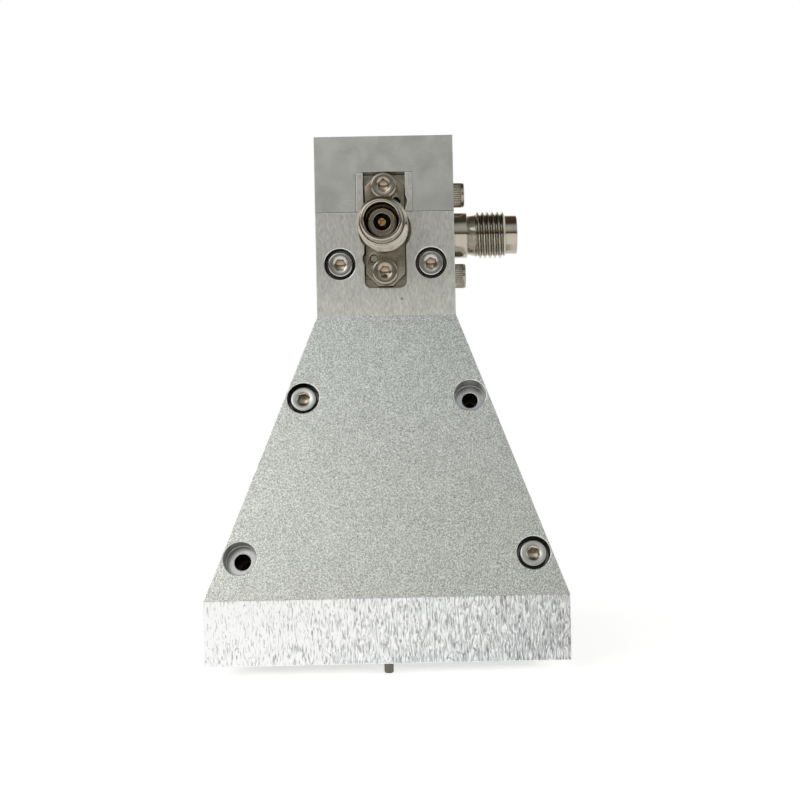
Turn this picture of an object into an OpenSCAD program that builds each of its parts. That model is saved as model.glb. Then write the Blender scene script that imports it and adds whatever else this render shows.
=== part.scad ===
// Dual-polarised quad-ridged horn antenna with two 2.4 mm coaxial jacks.
// Millimetres. The origin is the centre of the mouth's plane, +Z runs up the
// horn's axis to the cap, one jack looks along -Y and the other along +X.

/* [Horn] */
// Width of the square mouth, outside
mouth_w = 48; // [44:0.5:60]
// Width of the square neck, outside
neck_w = 19.8; // [19:0.1:25]
// Height of the flat band round the mouth
band_h = 8.6; // [6:0.1:12]
// Height of the sloping flare, from the band to the neck
flare_h = 38; // [32:0.5:50]
// Height of the neck's plates, from the flare to the cap
neck_h = 14.8; // [14:0.1:20]
// Height of the cap
cap_h = 10.8; // [10:0.1:14]
// Thickness of the rim at the mouth
rim_t = 4; // [3:0.1:6]

/* [Ridged guide] */
// Inside width of the square guide in the neck, and the width of the tongues
guide_w = 8; // [7.8:0.1:9.4]
// How far above the neck's crease the guide starts to open
guide_rise = 1.2; // [0.5:0.1:3]
// Thickness of each of the four ridges
ridge_t = 1.6; // [1.4:0.1:2.4]
// Gap between the tips of two facing ridges
ridge_gap = 1; // [0.8:0.1:1.6]
// Space left between two neighbouring ridges at their bevelled tips
ridge_bevel_gap = 0.28; // [0.2:0.02:0.5]
// How far the ridges run on above the upper probe
ridge_over = 1.4; // [0.8:0.1:2]
// Height of the hollow behind the ridges, inside the cap
back_short_h = 2; // [1:0.1:3]

/* [Jack seats] */
// Height of the front jack's axis above the foot of the cap, as a drop
jack_drop = 2.6; // [2:0.1:3.4]
// How much higher the right jack sits, so that the probes pass each other
jack_step = 0.4; // [0.36:0.02:0.6]
// Width of the recess that takes the flange
slot_w = 6; // [5.8:0.05:6.6]
// Depth of the recess
slot_depth = 2; // [1.8:0.1:2.4]
// Radius of the recess's lower corners
slot_r = 1; // [0.6:0.1:1.6]
// Room beyond each end of the flange
flange_end_gap = 0.3; // [0.2:0.05:0.5]
// Room all round the collar in its round relief
collar_gap = 0.35; // [0.2:0.05:0.5]
// Diameter of the relief round each locating hole
pin_relief_d = 3.2; // [2.9:0.05:3.4]

/* [Jacks] */
// Distance between a flange's two screws
flange_pitch = 12.2; // [11.6:0.1:12.8]
// Length of the flange
flange_l = 16; // [15.8:0.1:16.6]
// Width of the flange
flange_w = 5.7; // [5.4:0.05:5.9]
// Thickness of the flange
flange_t = 1.7; // [1.4:0.05:1.9]
// Corner cut at the flange's ends
flange_cut = 1.8; // [1:0.1:2]
// Diameter of the collar on the flange
collar_d = 6.8; // [6.2:0.05:7]
// How far the collar stands out of the neck
collar_out = 2; // [1.6:0.1:2.6]
// Diameter of the relief between the collar and the thread
groove_d = 5.8; // [5.4:0.05:6]
// Length of that relief
groove_l = 1.2; // [0.8:0.1:1.8]
// Outside diameter of the coupling thread, M7 x 0.75
thread_d = 7; // [6.9:0.05:7.1]
// Length of the coupling thread
thread_l = 4.5; // [3.8:0.1:5.4]
// Diameter of the nose in front of the thread
nose_d = 5.76; // [5.6:0.02:5.9]
// Length of the nose
nose_l = 1.8; // [1.4:0.1:2.4]
// Inside diameter of the nose
socket_d = 4.77; // [4.7:0.01:4.8]
// Depth of the mating face below the nose
socket_depth = 2.2; // [1.8:0.1:2.6]
// Outside diameter of the mating ring
ring_d = 3.6; // [3.2:0.1:4]
// Depth of the groove round the mating ring, whose outer side slopes up to the socket's wall
ring_h = 0.6; // [0.3:0.1:0.9]
// Width of that groove's floor
ring_gap = 0.15; // [0.1:0.05:0.3]
// Bore of the coaxial line
line_d = 2.4; // [2.2:0.05:2.6]
// Diameter of the centre contact
contact_d = 1.042; // [1:0.002:1.1]
// Bore of the centre contact's socket
contact_bore = 0.51; // [0.45:0.01:0.6]
// Depth of the centre contact's socket
contact_depth = 1.6; // [1.2:0.1:2]
// Width of the slots that split the centre contact
contact_slit = 0.12; // [0.08:0.02:0.16]
// Bore behind the bead's shoulder
bush_d = 3; // [2.8:0.1:3.4]
// Distance from the flange's back to the bead's shoulder
shoulder_depth = 4.6; // [4:0.1:5.4]
// Thickness of the support bead
bead_t = 1.2; // [0.8:0.1:1.6]

/* [Probes] */
// Diameter of each probe
probe_d = 0.3; // [0.24:0.02:0.34]
// Outside diameter of the sleeve that carries the probe through the wall
sleeve_d = 1; // [0.8:0.05:1.1]
// Distance from the horn's axis to the sleeve's inner end
sleeve_end = 1.2; // [1:0.1:2]
// Diameter of the hole through the ridge's tip
tip_hole_d = 0.6; // [0.5:0.02:0.6]
// How far the probe runs into the facing ridge
probe_in = 1.4; // [0.8:0.1:2]

/* [Fasteners] */
// Thread diameter of every screw, M2
screw_d = 2; // [1.8:0.1:2.2]
// Diameter of a screw's head
head_d = 3.65; // [3.4:0.05:3.8]
// Height of a screw's head
head_h = 2; // [1.8:0.1:2.2]
// Width across the flats of the hexagon socket
hex_w = 1.5; // [1.3:0.1:1.6]
// Depth of the hexagon socket
hex_depth = 1.1; // [0.8:0.1:1.3]
// Bevel round the top of a head
head_bevel = 0.25; // [0.1:0.05:0.4]
// Diameter of a counterbore
cbore_d = 4.5; // [4:0.05:4.6]
// How far a head lies below the face in its counterbore
head_sunk = 0.3; // [0.1:0.1:0.6]
// Diameter of a clearance hole
clear_d = 2.25; // [2.2:0.05:2.5]
// Diameter of an unused tapped hole
tap_d = 1.6; // [1.5:0.05:1.8]
// Space left past the tip of a screw
tip_room = 0.2; // [0.1:0.1:0.5]
// Distance from the neck's side faces to its screws
neck_screw_inset = 3.4; // [3.2:0.1:3.6]
// Height of the neck's screws above the crease
neck_screw_rise = 7.4; // [6.6:0.1:7.8]
// Length of the neck's screws
neck_screw_l = 6; // [5:0.5:6]
// Distance from the flare's edges to its screws, measured level
flare_screw_inset = 2.6; // [2.6:0.1:3.4]
// Drop of the flare's upper screws below the crease
flare_screw_drop = 11.6; // [8:0.2:14]
// Height of the flare's lower screws above the band
flare_screw_rise = 5.3; // [5:0.1:9]
// Length of the flare's screws
flare_screw_l = 8; // [6:0.5:9]
// Distance from the cap's faces to its screws
cap_screw_inset = 2.9; // [2.6:0.1:3]
// Length of the cap's screws
cap_screw_l = 12; // [11:0.5:13]
// Length of the flange screws
flange_screw_l = 5; // [4:0.5:5.2]

/* [Pins] */
// Diameter of a flange's locating pin
pin_d = 1.2; // [1:0.05:1.3]
// Length of a flange's locating pin
pin_l = 3; // [2.6:0.1:3.2]
// How far its top lies below the flange's face
pin_sunk = 0.2; // [0.1:0.05:0.4]
// Sideways distance of the locating holes from the jack's axis
pin_side = 1.65; // [1.5:0.05:1.7]
// Distance of the locating holes along the flange from the jack's axis
pin_along = 4.05; // [3.9:0.05:4.2]
// Diameter of the pin in the mouth's rim
rim_pin_d = 1.25; // [1:0.05:1.5]
// How far that pin stands out of the rim
rim_pin_out = 1.6; // [1:0.1:2.5]
// How deep it sits in the rim
rim_pin_in = 4; // [3:0.5:6]

/* [Clearances] */
// Gap between a tongue and the cap's notch, each side
tongue_gap = 0.05; // [0.03:0.01:0.1]
// Gap round each pin, bush, bead, sleeve and screw thread in its hole
fit_gap = 0.02; // [0.01:0.01:0.03]

/* [Hidden] */
$fn = 64;

// The turn about Z that takes a piece built on +X to each side of the horn
FRONT = -90;
RIGHT = 0;
BACK = 90;
LEFT = 180;

// The two ends of a flange; each jack has its one locating pin at one of them
UPPER = -1;
LOWER = 1;
front_pin = [LOWER];
right_pin = [UPPER];

// Levels along the horn's axis
crease_z = band_h + flare_h;
plate_top = crease_z + neck_h;
guide_z = crease_z + guide_rise;
cap_top = plate_top + cap_h;
front_jack_z = plate_top - jack_drop;
right_jack_z = front_jack_z + jack_step;
ridge_top = right_jack_z + ridge_over;
neck_screw_z = crease_z + neck_screw_rise;
flare_high_z = crease_z - flare_screw_drop;
flare_low_z = band_h + flare_screw_rise;

// Distances from the axis
neck_r = neck_w / 2;
mouth_r = mouth_w / 2;
guide_r = guide_w / 2;
mouth_in_r = mouth_r - rim_t;
tip_r = ridge_gap / 2;
seat_r = neck_r - slot_depth;
flare_angle = atan2(mouth_r - neck_r, flare_h);
function outer_r(z) = neck_r + (crease_z - z) * tan(flare_angle);

// Depths of the screws' seats and threads below the face that they enter
seat_depth = head_h + head_sunk;
slot_half_l = flange_l / 2 + flange_end_gap;
flange_hole_depth = flange_screw_l - flange_t + tip_room;
flare_filled = [[-1, flare_high_z], [1, flare_low_z]];
flare_empty = [[1, flare_high_z], [-1, flare_low_z]];
flare_all = concat(flare_filled, flare_empty);

// Stations along a jack, outwards from the back of its flange
collar_end = slot_depth + collar_out;
thread_start = collar_end + groove_l;
nose_start = thread_start + thread_l;
nose_end = nose_start + nose_l;
ring_face = nose_end - socket_depth;
contact_face = ring_face - 0.05;
contact_back = 0.4;
probe_socket_l = 1.2;

ridge_root = 1;      // how far a ridge's profile reaches into its wall
ridge_steps = 28;    // straight pieces in a ridge's curved tip
over = 1;            // how far a cutting shape runs past the face it opens
thread_bevel = 0.35; // bevel at both ends of the coupling thread
nose_bevel = 0.2;    // bevel round the nose, outside and inside
pin_bevel = 0.15;    // bevel on the pins' ends

aluminium = "#b4b6b5";
cap_aluminium = "#a9adac";
steel = "#a59d92";
screw_steel = "#b9b4ab";
gold = "#c79a4a";
bead_plastic = "#2b2a28";
ptfe = "#e9e7df";
dark_steel = "#4a4843";

// ---- Placing ----

// Draws a vertical section in X and Z with a given thickness along Y
module upright(thickness) {
    rotate([90, 0, 0]) linear_extrude(thickness, center = true) children();
}

// Puts the local Z axis on a jack's axis, with Z = 0 at the flange's back
module at_jack(turn, jack_z) {
    rotate([0, 0, turn]) translate([seat_r, 0, jack_z]) rotate([0, 90, 0]) children();
}

// Puts the local Z axis out of the neck at its two screws
module at_neck_screws() {
    for (side = [-1, 1])
        translate([neck_r, side * (neck_r - neck_screw_inset), neck_screw_z])
            rotate([0, 90, 0]) children();
}

// Puts the local Z axis squarely out of the sloping face at each [side, height]
module at_flare_screws(places) {
    for (place = places)
        translate([outer_r(place[1]), place[0] * (outer_r(place[1]) - flare_screw_inset), place[1]])
            rotate([0, 90 - flare_angle, 0]) children();
}

// Puts the local Z axis up out of the cap at its four screws
module at_cap_screws() {
    for (x = [-1, 1], y = [-1, 1])
        translate([x * (neck_r - cap_screw_inset), y * (neck_r - cap_screw_inset), cap_top]) children();
}

// Puts the local Z axis at a flange's two screws; local X runs down the flange
module at_flange_screws() {
    for (end = [-1, 1]) translate([end * flange_pitch / 2, 0, 0]) children();
}

// Puts the local Z axis at a flange's locating holes: UPPER, LOWER or both
module at_pin_holes(ends = [UPPER, LOWER]) {
    for (end = ends) translate([end * pin_along, -end * pin_side, 0]) children();
}

// ---- Fasteners ----

// Socket head cap screw with its bearing face at Z = 0 and its thread below
module socket_screw(length) {
    difference() {
        union() {
            rotate_extrude() polygon([
                [0, 0], [head_d / 2, 0], [head_d / 2, head_h - head_bevel],
                [head_d / 2 - head_bevel, head_h], [0, head_h]
            ]);
            translate([0, 0, -length]) cylinder(d = screw_d, h = length + head_h / 4);
        }
        translate([0, 0, head_h - hex_depth])
            cylinder(d = hex_w / cos(30), h = hex_depth + over, $fn = 6);
    }
}

module sunk_screw(length) {
    translate([0, 0, -seat_depth]) socket_screw(length);
}

// Counterbore and clearance hole below a face at Z = 0
module screw_seat(reach) {
    translate([0, 0, -seat_depth]) cylinder(d = cbore_d, h = seat_depth + over);
    translate([0, 0, -reach]) cylinder(d = clear_d, h = reach);
}

// Thread hole that reaches just past a screw's tip
module thread_hole(reach, d = screw_d + 2 * fit_gap) {
    translate([0, 0, -reach]) cylinder(d = d, h = reach);
}

// ---- Horn walls, each built on the +X side ----

module outline_2d(top) {
    polygon([
        [-mouth_r, 0], [mouth_r, 0], [mouth_r, band_h], [neck_r, crease_z],
        [neck_r, top], [-neck_r, top], [-neck_r, crease_z], [-mouth_r, band_h]
    ]);
}

module hollow_2d(top) {
    polygon([
        [-mouth_in_r, 0], [mouth_in_r, 0], [guide_r, guide_z],
        [guide_r, top], [-guide_r, top], [-guide_r, guide_z]
    ]);
}

module wall_2d() {
    polygon([
        [mouth_in_r, 0], [mouth_r, 0], [mouth_r, band_h], [neck_r, crease_z],
        [neck_r, plate_top], [guide_r, plate_top], [guide_r, guide_z]
    ]);
}

// A wide wall spans the whole horn; a narrow one fits between two wide ones
module wall(wide) {
    intersection() {
        upright(mouth_w + 2 * over) wall_2d();
        rotate([0, 0, 90]) upright(mouth_w + 2 * over)
            if (wide) outline_2d(plate_top); else hollow_2d(plate_top);
    }
}

// Distance of a ridge's tip from the axis: it grows by the same factor in
// each equal step down the flare, and meets the wall at the mouth
function ridge_tip(z) = tip_r * pow(mouth_in_r / tip_r, (guide_z - z) / guide_z);

module ridge_2d() {
    polygon(concat(
        [for (i = [0 : ridge_steps]) let (z = guide_z * i / ridge_steps) [ridge_tip(z), z]],
        [[tip_r, ridge_top], [guide_r + ridge_root, ridge_top],
         [guide_r + ridge_root, guide_z], [mouth_in_r + ridge_root, 0]]
    ));
}

// The quarter of the horn that belongs to one wall, less the bevel gap
module quarter() {
    start = ridge_bevel_gap / sqrt(2);
    linear_extrude(ridge_top + over)
        polygon([[start, 0], [start + mouth_w, mouth_w], [start + mouth_w, -mouth_w]]);
}

module ridge() {
    intersection() {
        upright(ridge_t) ridge_2d();
        quarter();
    }
}

// The tongue that carries the upper half of a flange, up inside the cap
module tongue(jack_z) {
    top = jack_z + slot_half_l - tongue_gap;
    translate([guide_r, -guide_r, plate_top - over])
        cube([neck_r - guide_r, guide_w, top - plate_top + over]);
}

// Everything cut away to seat a jack; local X runs down the flange
module jack_seat(pin_ends) {
    depth = slot_depth + over;
    straight = slot_half_l - slot_r;
    linear_extrude(depth) {
        translate([-slot_half_l - over, -slot_w / 2]) square([slot_half_l + over + straight, slot_w]);
        translate([0, -slot_w / 2 + slot_r]) square([slot_half_l, slot_w - 2 * slot_r]);
        for (side = [-1, 1]) translate([straight, side * (slot_w / 2 - slot_r)]) circle(slot_r);
        circle(d = collar_d + 2 * collar_gap);
        at_pin_holes() circle(d = pin_relief_d);
    }
    at_flange_screws() thread_hole(flange_hole_depth);
    at_pin_holes(pin_ends) thread_hole(pin_l - flange_t + pin_sunk + tip_room, pin_d + 2 * fit_gap);
    translate([0, 0, sleeve_end - seat_r]) cylinder(d = sleeve_d + 2 * fit_gap, h = seat_r - sleeve_end);
    translate([0, 0, -seat_r]) cylinder(d = tip_hole_d, h = seat_r);
}

// The hole in the facing ridge that takes a probe's end
module probe_hole(turn, jack_z) {
    reach = probe_in + tip_room;
    rotate([0, 0, turn]) translate([-tip_r - reach, 0, jack_z]) rotate([0, 90, 0])
        cylinder(d = probe_d + 2 * fit_gap, h = reach + over / 4, $fn = 24);
}

module wide_plate_holes() {
    at_neck_screws() screw_seat(neck_r);
    at_flare_screws(flare_all) screw_seat(neck_r);
    rotate([0, 0, 90]) at_cap_screws() thread_hole(seat_depth + cap_screw_l + tip_room);
}

// The thread holes that the wide plates' screws use in the two narrow plates
module narrow_plate_holes() {
    flare_reach = seat_depth + flare_screw_l + tip_room;
    for (turn = [FRONT, BACK]) rotate([0, 0, turn]) {
        at_neck_screws() thread_hole(seat_depth + neck_screw_l + tip_room);
        at_flare_screws(flare_filled) thread_hole(flare_reach);
    }
    rotate([0, 0, BACK]) at_flare_screws(flare_empty) thread_hole(flare_reach);
    rotate([0, 0, FRONT]) at_flare_screws(flare_empty) thread_hole(flare_reach, tap_d);
}

module front_plate() {
    color(aluminium) difference() {
        rotate([0, 0, FRONT]) {
            wall(wide = true);
            ridge();
            tongue(front_jack_z);
        }
        rotate([0, 0, FRONT]) wide_plate_holes();
        at_jack(FRONT, front_jack_z) jack_seat(front_pin);
        rotate([0, 0, FRONT]) translate([mouth_r - rim_t / 2, 0, -over])
            cylinder(d = rim_pin_d + 2 * fit_gap, h = rim_pin_in + tip_room + over);
    }
}

module back_plate() {
    color(aluminium) difference() {
        rotate([0, 0, BACK]) {
            wall(wide = true);
            ridge();
        }
        rotate([0, 0, BACK]) wide_plate_holes();
        probe_hole(FRONT, front_jack_z);
    }
}

module right_plate() {
    color(aluminium) difference() {
        union() {
            wall(wide = false);
            ridge();
            tongue(right_jack_z);
        }
        narrow_plate_holes();
        at_jack(RIGHT, right_jack_z) jack_seat(right_pin);
    }
}

module left_plate() {
    color(aluminium) difference() {
        rotate([0, 0, LEFT]) {
            wall(wide = false);
            ridge();
        }
        narrow_plate_holes();
        probe_hole(RIGHT, right_jack_z);
    }
}

// ---- Cap ----

// The notch in the cap that goes over a tongue
module cap_notch(jack_z) {
    top = jack_z + slot_half_l;
    translate([guide_r - tongue_gap, -guide_r - tongue_gap, plate_top - over])
        cube([neck_r - guide_r + tongue_gap + over, guide_w + 2 * tongue_gap, top - plate_top + over]);
}

module cap() {
    color(cap_aluminium) difference() {
        translate([-neck_r, -neck_r, plate_top]) cube([neck_w, neck_w, cap_h]);
        rotate([0, 0, FRONT]) cap_notch(front_jack_z);
        cap_notch(right_jack_z);
        translate([-guide_r, -guide_r, plate_top - over]) cube([guide_w, guide_w, back_short_h + over]);
        at_cap_screws() screw_seat(cap_h + over);
    }
}

// ---- Jacks, each built along local Z from the back of the flange ----

module flange_2d() {
    long = flange_l / 2;
    half = flange_w / 2;
    polygon([
        [-long, -half + flange_cut], [-long + flange_cut, -half],
        [long - flange_cut, -half], [long, -half + flange_cut],
        [long, half - flange_cut], [long - flange_cut, half],
        [-long + flange_cut, half], [-long, half - flange_cut]
    ]);
}

module barrel() {
    rotate_extrude() polygon([
        [bush_d / 2, 0], [collar_d / 2, 0], [collar_d / 2, collar_end - nose_bevel],
        [collar_d / 2 - nose_bevel, collar_end], [groove_d / 2, collar_end],
        [groove_d / 2, thread_start], [thread_d / 2 - thread_bevel, thread_start],
        [thread_d / 2, thread_start + thread_bevel], [thread_d / 2, nose_start - thread_bevel],
        [thread_d / 2 - thread_bevel, nose_start], [nose_d / 2, nose_start],
        [nose_d / 2, nose_end - nose_bevel], [nose_d / 2 - nose_bevel, nose_end],
        [socket_d / 2 + nose_bevel / 2, nose_end], [socket_d / 2, nose_end - nose_bevel / 2],
        [socket_d / 2, ring_face], [ring_d / 2 + ring_gap, ring_face - ring_h],
        [ring_d / 2, ring_face - ring_h], [ring_d / 2, ring_face], [line_d / 2, ring_face],
        [line_d / 2, shoulder_depth], [bush_d / 2, shoulder_depth]
    ]);
}

module jack_body() {
    color(steel) {
        difference() {
            linear_extrude(flange_t) flange_2d();
            translate([0, 0, -over]) cylinder(d = bush_d, h = flange_t + 2 * over);
            at_flange_screws() translate([0, 0, -over]) cylinder(d = clear_d, h = flange_t + 2 * over);
            at_pin_holes() translate([0, 0, -over])
                cylinder(d = pin_d + 2 * fit_gap, h = flange_t + 2 * over, $fn = 32);
        }
        barrel();
    }
}

module tube(outer_d, inner_d, from, to) {
    rotate_extrude() translate([inner_d / 2, from]) square([(outer_d - inner_d) / 2, to - from]);
}

module jack_bush() {
    color(steel) tube(bush_d - 2 * fit_gap, line_d, 0, shoulder_depth - bead_t);
}

module jack_bead() {
    color(bead_plastic) tube(bush_d - 2 * fit_gap, contact_d + 2 * fit_gap, shoulder_depth - bead_t, shoulder_depth);
}

module jack_contact() {
    color(gold) difference() {
        translate([0, 0, contact_back]) cylinder(d = contact_d, h = contact_face - contact_back, $fn = 32);
        translate([0, 0, contact_face - contact_depth])
            cylinder(d = contact_bore, h = contact_depth + over, $fn = 32);
        for (turn = [45, 135]) rotate([0, 0, turn])
            translate([-contact_d, -contact_slit / 2, contact_face - contact_depth])
                cube([2 * contact_d, contact_slit, contact_depth + over]);
        translate([0, 0, contact_back - over])
            cylinder(d = probe_d + 2 * fit_gap, h = over + probe_socket_l, $fn = 24);
    }
}

module probe() {
    start = contact_back + probe_socket_l - tip_room;
    end = seat_r + tip_r + probe_in;
    color(gold) translate([0, 0, -end]) cylinder(d = probe_d, h = end + start, $fn = 24);
}

module probe_sleeve() {
    color(ptfe) tube(sleeve_d, probe_d + 2 * fit_gap, sleeve_end - seat_r, 0);
}

module flange_pin(pin_ends) {
    color(screw_steel) at_pin_holes(pin_ends) translate([0, 0, flange_t - pin_sunk]) rotate_extrude($fn = 32)
        polygon([
            [0, -pin_l], [pin_d / 2, -pin_l], [pin_d / 2, -pin_bevel], [pin_d / 2 - pin_bevel, 0], [0, 0]
        ]);
}

module flange_screws() {
    color(screw_steel) at_flange_screws() translate([0, 0, flange_t]) socket_screw(flange_screw_l);
}

// ---- Screws and pins in the horn ----

module neck_screws(turn) {
    color(screw_steel) rotate([0, 0, turn]) at_neck_screws() sunk_screw(neck_screw_l);
}

module flare_screws(turn, places) {
    color(screw_steel) rotate([0, 0, turn]) at_flare_screws(places) sunk_screw(flare_screw_l);
}

module cap_screws() {
    color(screw_steel) at_cap_screws() sunk_screw(cap_screw_l);
}

module rim_pin() {
    r = rim_pin_d / 2;
    color(dark_steel) rotate([0, 0, FRONT]) translate([mouth_r - rim_t / 2, 0, 0]) rotate_extrude($fn = 32)
        polygon([
            [0, -rim_pin_out], [r - pin_bevel, -rim_pin_out], [r, -rim_pin_out + pin_bevel],
            [r, rim_pin_in], [0, rim_pin_in]
        ]);
}

front_plate();
back_plate();
left_plate();
right_plate();
cap();
at_jack(FRONT, front_jack_z) jack_body();  // front_jack_body
at_jack(FRONT, front_jack_z) jack_bush();  // front_jack_bush
at_jack(FRONT, front_jack_z) jack_bead();  // front_jack_bead
at_jack(FRONT, front_jack_z) jack_contact();  // front_jack_contact
at_jack(FRONT, front_jack_z) probe();  // front_probe
at_jack(FRONT, front_jack_z) probe_sleeve();  // front_probe_sleeve
at_jack(FRONT, front_jack_z) flange_pin(front_pin);  // front_flange_pin
at_jack(FRONT, front_jack_z) flange_screws();  // front_flange_screws
at_jack(RIGHT, right_jack_z) jack_body();  // right_jack_body
at_jack(RIGHT, right_jack_z) jack_bush();  // right_jack_bush
at_jack(RIGHT, right_jack_z) jack_bead();  // right_jack_bead
at_jack(RIGHT, right_jack_z) jack_contact();  // right_jack_contact
at_jack(RIGHT, right_jack_z) probe();  // right_probe
at_jack(RIGHT, right_jack_z) probe_sleeve();  // right_probe_sleeve
at_jack(RIGHT, right_jack_z) flange_pin(right_pin);  // right_flange_pin
at_jack(RIGHT, right_jack_z) flange_screws();  // right_flange_screws
neck_screws(FRONT);  // front_neck_screws
flare_screws(FRONT, flare_filled);  // front_flare_screws
neck_screws(BACK);  // back_neck_screws
flare_screws(BACK, flare_all);  // back_flare_screws
cap_screws();
rim_pin();
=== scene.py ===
"""Looks of the horn antenna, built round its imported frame. Sizes named _MM are in millimetres."""

import math

import bmesh
import bpy
from mathutils import Matrix, Vector

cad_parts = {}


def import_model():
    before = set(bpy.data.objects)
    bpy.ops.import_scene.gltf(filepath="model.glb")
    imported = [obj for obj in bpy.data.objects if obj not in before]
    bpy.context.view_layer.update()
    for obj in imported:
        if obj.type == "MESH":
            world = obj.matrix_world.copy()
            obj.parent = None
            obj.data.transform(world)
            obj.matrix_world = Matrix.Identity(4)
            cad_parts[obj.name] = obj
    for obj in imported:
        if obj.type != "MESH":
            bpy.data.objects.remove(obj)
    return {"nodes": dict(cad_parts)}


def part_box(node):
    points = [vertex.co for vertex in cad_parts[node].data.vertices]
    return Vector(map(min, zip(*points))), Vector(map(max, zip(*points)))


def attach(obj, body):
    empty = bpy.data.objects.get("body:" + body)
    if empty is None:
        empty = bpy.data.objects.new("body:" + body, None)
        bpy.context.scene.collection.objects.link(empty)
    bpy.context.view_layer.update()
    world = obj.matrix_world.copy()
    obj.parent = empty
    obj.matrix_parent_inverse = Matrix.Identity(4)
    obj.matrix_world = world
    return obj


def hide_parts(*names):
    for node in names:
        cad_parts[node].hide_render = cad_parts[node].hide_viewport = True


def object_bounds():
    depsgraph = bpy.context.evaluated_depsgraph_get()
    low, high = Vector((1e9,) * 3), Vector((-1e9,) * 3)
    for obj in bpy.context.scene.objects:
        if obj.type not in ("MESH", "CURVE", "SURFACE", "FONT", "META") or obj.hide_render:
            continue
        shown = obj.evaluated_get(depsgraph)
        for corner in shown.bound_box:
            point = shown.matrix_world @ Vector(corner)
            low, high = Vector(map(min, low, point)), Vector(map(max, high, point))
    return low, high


MM = 0.001

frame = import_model()
cad_low, cad_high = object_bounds()

# ---- Sizes of the horn that its finishes follow ----

BAND_TOP_MM = 8.6
CREASE_MM = 46.6
PARTING_MM = 61.4
NECK_R_MM = 9.9
MOUTH_R_MM = 24.0
RIM_MM = 4.0
GUIDE_R_MM = 4.0
GUIDE_RISE_MM = 1.2
FLARE_SCREW_INSET_MM = 2.6
NECK_SCREW_X_MM = 6.5
NECK_SCREW_LEVEL_MM = CREASE_MM + 7.4
JACK_LEVEL_MM = PARTING_MM - 0.5
FLARE_SCREW_LEVELS_MM = (35.0, 13.9)
COUNTERBORE_R_MM = 2.25
SEAT_DEPTH_MM = 2.3
PIT_MM = (2.25, -9.9, 48.95)
SEAT_R_MM = 7.9
FLARE_ANGLE = math.atan2(MOUTH_R_MM - NECK_R_MM, CREASE_MM - BAND_TOP_MM)

# ---- Sizes of the turned and bought pieces ----

FLANGE_MM = (16.0, 5.7, 1.7)
FLANGE_CUT_MM = 1.8
FLANGE_EDGE_MM = 0.12
FLANGE_PITCH_MM = 12.2
FLANGE_HOLE_R_MM = 1.125
LOCATING_HOLE_R_MM = 0.62
LOCATING_HOLE_MM = (4.05, 1.65)
COLLAR_R_MM = 3.4
COLLAR_END_MM = 4.0
GROOVE_R_MM = 2.9
THREAD_R_MM = 3.5
THREAD_START_MM = 5.2
THREAD_END_MM = 9.7
THREAD_PITCH_MM = 0.75
THREAD_DEPTH_MM = 0.46
THREAD_LEAD_MM = 0.35
NOSE_R_MM = 2.88
NOSE_END_MM = 11.5
SOCKET_R_MM = 2.385
SEAT_STATION_MM = 9.3
RING_R_MM = 1.8
RING_GROOVE_MM = (0.15, 0.6)
LINE_R_MM = 1.2
BUSH_R_MM = 1.5
SHOULDER_MM = 4.6
HEAD_R_MM = 1.825
HEAD_H_MM = 2.0
HEX_MM = 1.5
HEX_DEPTH_MM = 1.1
SHANK_R_MM = 1.0
RIBS = 36
HOLE_SEGMENTS = 48

# ---- Node materials ----


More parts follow.
